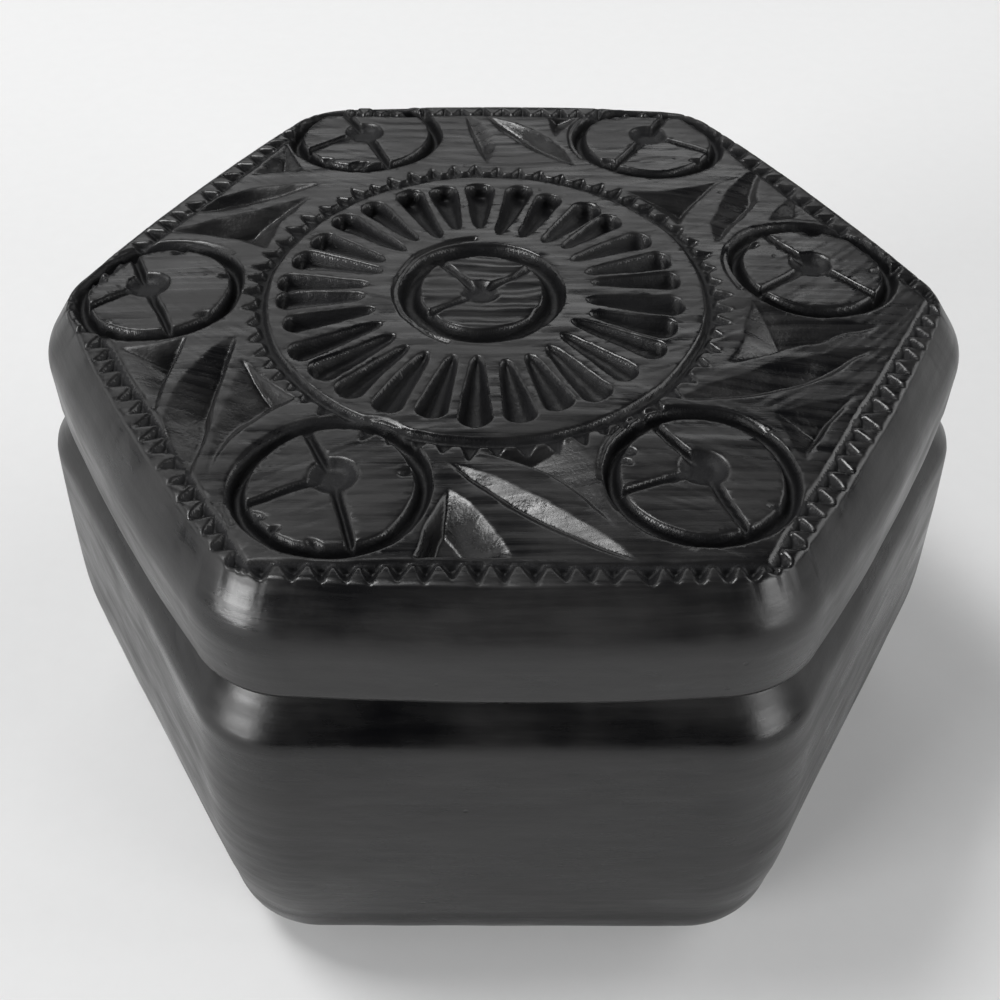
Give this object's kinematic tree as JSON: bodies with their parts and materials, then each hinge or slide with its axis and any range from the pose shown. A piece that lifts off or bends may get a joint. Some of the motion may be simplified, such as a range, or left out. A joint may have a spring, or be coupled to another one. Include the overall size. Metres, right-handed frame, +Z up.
{
  "type": "lidded clay box",
  "caption": "Six-sided box of burnished black clay with a carved lift-off lid that seats over a collar in its mouth; holds jewellery and small things.",
  "frame": {"origin": "centre of the underside, on the surface that the box stands on", "axes": "+Z up, the way the lid lifts off; +X towards a corner of the hexagon; the flat sides face -Y and +Y"},
  "size_m": [0.1162, 0.104, 0.0653],
  "materials": {
    "burnished_clay_base": "burnished, glossy",
    "burnished_clay_lid": "burnished, glossy, with matte cuts",
    "plain_clay": "matte, unburnished"
  },
  "bodies": {
    "box": {"base": "burnished_clay_base", "locating_collar": "plain_clay"},
    "lid": {"lid": "burnished_clay_lid"}
  },
  "joints": [
    {"name": "lid_lift", "type": "slide", "parent": "box", "child": "lid", "axis": [0, 0, 1], "range_m": [0, 0.06]}
  ]
}
